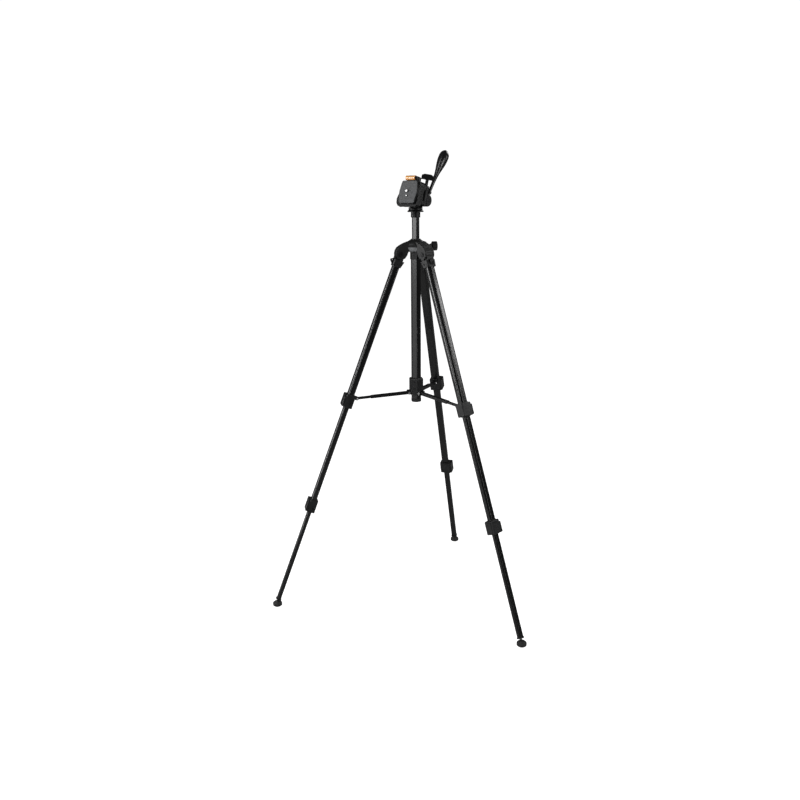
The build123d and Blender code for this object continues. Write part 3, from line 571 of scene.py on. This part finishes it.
def hub_details():
    """Screws on the hub's flats and the boss under the tube's end cap."""
    for azimuth in BETWEEN_LEGS:
        for row, height in enumerate(HUB_SCREW_HEIGHTS):
            screw = along_x(at_column(azimuth) @ Matrix.Translation((0, 0, height)), HUB_FACE)
            head = cross_head(screw, 2.2, 0.7)
            piece(f"hub_screw_{azimuth:.0f}_{row}", "hub", black_steel, head)
    end = at_column() @ Matrix.Translation((0, 0, TUBE_CAP_Z)) @ turn(180, "X")
    boss = [(lathe, end, hollow(6.5, 4.6, -0.2, 0.8)), (lathe, end, dome(3.0, 0, 0.7))]
    piece("tube_cap_boss", "crown", moulding, boss)


PAN_CONE = (18.35, 0, 1009.0)  # a point on the pan base's flare, and how far the scale leans there
PAN_CONE_LEAN = 49.8
TICKS = 36
GRUB_AZIMUTH = 288.0
GRUB_AT = (11.3, 999.0)  # distance from the column's axis, height
CAP_LEFT = 25.2  # seats of the axle caps along the tilt axis
CAP_RIGHT = -21.2


def pan_base_details():
    """Degree scale and grub screw of the pan base."""
    base = at_column()
    ticks = []
    for i in range(TICKS):
        half = 1.1 if i % 3 else 1.6
        cone = base @ turn(360 / TICKS * i, "Z") @ Matrix.Translation(PAN_CONE) @ turn(PAN_CONE_LEAN, "Y")
        ticks.append((bar, cone, (-half, half), (-0.16, 0.16), (-0.1, 0.22)))
    piece("pan_scale", "column", steel, ticks)
    grub = along_x(at_column(GRUB_AZIMUTH) @ Matrix.Translation((0, 0, GRUB_AT[1])), GRUB_AT[0])
    piece("pan_base_grub_screw", "column", black_steel, cross_head(grub, 2.1, 0.7))


def drum_details(tilt):
    """Axle cap and ring on each end of the tilt drum."""
    for name, y, towards in (("left", CAP_LEFT, 1), ("right", CAP_RIGHT, -1)):
        end = along_y(tilt, y, towards)
        piece(f"axle_cap_{name}", "pan_head", black_steel, cross_head(end, 4.6, 1.1))
        ring = [(lathe, end, hollow(12.4, 11.2, 0.6, 1.2))]
        piece(f"drum_ring_{name}", "tilt_body", moulding, ring)


# Places on the head, in the tilt axis's frame
HANDLE_AT = (-20.6, 19.0, -7.0)
HANDLE_TURN = -107.0
KNURLS = 20
SCREW_AT = (-10.6, -4.1, 0)
THREAD = (3.1, 0.28, 1.27, 3.0, 44.9)  # radius, depth, pitch, turns, bottom
PLATE_RING_RADII = (6.2, 9.4)
VIAL_AT = (-43.4, 0, 41.0)
VIAL_ENDS = ((-17.7, -1), (12.1, 1))
VIAL_MARKS = (-6.0, 0.4)
FLIP_KNOB_AT = (0, 20.0, 8.9)
FLIP_KNOB_END = -59.7


def head_details():
    """Caps, marks, ribs and threads of the pan head."""
    pan_base_details()
    tilt = at_tilt()
    drum_details(tilt)
    tail = shift(tilt, *HANDLE_AT) @ turn(HANDLE_TURN, "Y")
    around = [tail @ turn(360 / KNURLS * i, "Z") for i in range(KNURLS)]
    knurl = [(bar, place, (5.0, 5.6), (-0.4, 0.4), (-1.6, 2.6)) for place in around]
    piece("handle_ferrule_knurl", "pan_handle", head_plastic, knurl, 0.15)
    screw = shift(tilt, *SCREW_AT)
    piece("camera_screw_thread", "camera_screw", steel, [(helix, screw, *THREAD)])
    profiles = [hollow(radius + 0.25, radius - 0.25, 43.9, 44.18, 0.08) for radius in PLATE_RING_RADII]
    rings = [(lathe, screw, profile) for profile in profiles]
    piece("plate_rings", "release_plate", pad_rubber, rings)
    vial = shift(tilt, *VIAL_AT)
    marks = [(lathe, along_y(vial, y), hollow(5.66, 5.45, -0.25, 0.25, 0.05)) for y in VIAL_MARKS]
    piece("vial_marks", "platform", moulding, marks)
    ends = [(lathe, along_y(vial, y, towards), dome(4.9, 0, 0.7)) for y, towards in VIAL_ENDS]
    piece("vial_ends", "platform", moulding, ends)
    wing = along_x(shift(tilt, *FLIP_KNOB_AT), FLIP_KNOB_END, -1)
    piece("flip_knob_cap", "flip_knob", head_plastic, [(lathe, wing, dome(3.4, 0, 0.9))])
    ribs = [(bar, tilt, (x - 0.7, x + 0.7), (25.3, 26.0), (22.5, 34.5)) for x in range(-26, 11, 6)]
    piece("platform_ribs", "platform", head_plastic, ribs, 0.25)
    grips = [(bar, tilt, (x - 0.6, x + 0.6), (-46.7, -45.2), (28.6, 32.4)) for x in (4.5, 7.5, 10.5)]
    piece("release_lever_ribs", "release_lever", plate_plastic, grips, 0.25)


for side, azimuth in AZIMUTHS.items():
    leg_details(side, azimuth)
crown_details()
hub_details()
head_details()


# ---------------------------------------------------------------- stage

CAMERA_AT = (0.66496, -2.10285, 1.04912)
CAMERA_TURN = (76.3669, 0.46354, 19.32535)  # degrees about X, Y and Z
FOCAL_MM = 38.286
SENSOR_MM = 36.0
BACKDROP = 1.05  # brightness that floor and world add for camera rays
WORLD_LIGHT = 0.07  # the world's brightness for all other rays
FLOOR_HALF = (8.0, 6.0)
FLOOR_TONE = 0.45


def camera_level(tree, others, camera_rays):
    """One value for rays from the camera and another for all other rays."""
    seen = node(tree, "ShaderNodeLightPath")
    level = node(tree, "ShaderNodeMapRange")
    level.inputs["To Min"].default_value = others
    level.inputs["To Max"].default_value = camera_rays
    tree.links.new(seen.outputs["Is Camera Ray"], level.inputs["Value"])
    return level.outputs["Result"]


def floor_paint(tone, roughness):
    """Grey paint with very faint mottling, lit up for camera rays so that it meets the backdrop."""
    material, tree, principled = shader("floor_paint", roughness)
    mottle = grain(tree, 3.0, detail=3.0)
    darker = 0.985 * tone
    colour_from(tree, principled, mottle, (darker, darker, darker), (tone, tone, tone))
    principled.inputs["Emission Color"].default_value = (1, 1, 1, 1)
    tree.links.new(camera_level(tree, 0.0, BACKDROP), principled.inputs["Emission Strength"])
    return material


def stage():
    """Plain floor under the tripod, a single rectangle."""
    mesh = bpy.data.meshes.new("floor")
    form = bmesh.new()
    x, y = FLOOR_HALF
    corners = [(-x, -y), (x, -y), (x, y), (-x, y)]
    form.faces.new([form.verts.new((x, y, 0.0)) for x, y in corners])
    form.to_mesh(mesh)
    form.free()
    floor = bpy.data.objects.new("floor", mesh)
    bpy.context.collection.objects.link(floor)
    mesh.materials.append(floor_paint(FLOOR_TONE, 0.7))


def lamp(name, spot, target, size, power):
    """Rectangular area light in watts that faces a point and stays out of the picture."""
    data = bpy.data.lights.new(name, "AREA")
    data.shape = "RECTANGLE"
    data.size, data.size_y = size
    data.energy = power
    light = bpy.data.objects.new(name, data)
    bpy.context.collection.objects.link(light)
    light.location = spot
    light.rotation_euler = (Vector(target) - Vector(spot)).to_track_quat("-Z", "Y").to_euler()
    light.visible_camera = False


def camera():
    """Camera that the picture is taken with."""
    data = bpy.data.cameras.new("camera")
    data.lens = FOCAL_MM
    data.sensor_width = SENSOR_MM
    view = bpy.data.objects.new("camera", data)
    bpy.context.collection.objects.link(view)
    view.location = CAMERA_AT
    view.rotation_euler = [radians(angle) for angle in CAMERA_TURN]
    bpy.context.scene.camera = view


def studio_world():
    """White world that lights the object only faintly."""
    world = bpy.data.worlds.new("studio")
    world.use_nodes = True
    sky = world.node_tree
    glow = sky.nodes["Background"]
    glow.inputs["Color"].default_value = (1, 1, 1, 1)
    sky.links.new(camera_level(sky, WORLD_LIGHT, BACKDROP), glow.inputs["Strength"])
    bpy.context.scene.world = world


stage()
camera()
studio_world()
bpy.context.scene.view_settings.view_transform = "Standard"
lamp("key", (-1.15, -2.2, 2.5), (0, 0, 0.75), (0.7, 1.6), 30)
lamp("column_stripe", (-0.8, -2.45, 0.95), (0, -0.1, 0.95), (0.4, 0.4), 4.2)
lamp("tube_stripe", (-0.8, -2.42, 0.32), (0, -0.1, 0.6), (0.3, 0.8), 1.5)
lamp("left_stripe", (-1.95, -1.1, 0.9), (0, 0, 0.75), (0.4, 1.4), 26)
lamp("right_stripe", (2.4, -1.0, 1.0), (0, 0, 0.6), (0.3, 1.8), 20)
lamp("screw_glint", (-1.85, -0.86, 1.9), (0, -0.1, 1.05), (0.3, 0.3), 2.5)
lamp("handle_stripe", (1.83, 0.6, 1.4), (0.1, -0.05, 1.12), (0.4, 0.5), 7)
lamp("back", (0.9, 2.3, 2.1), (0, 0, 0.7), (1.2, 1.2), 16)
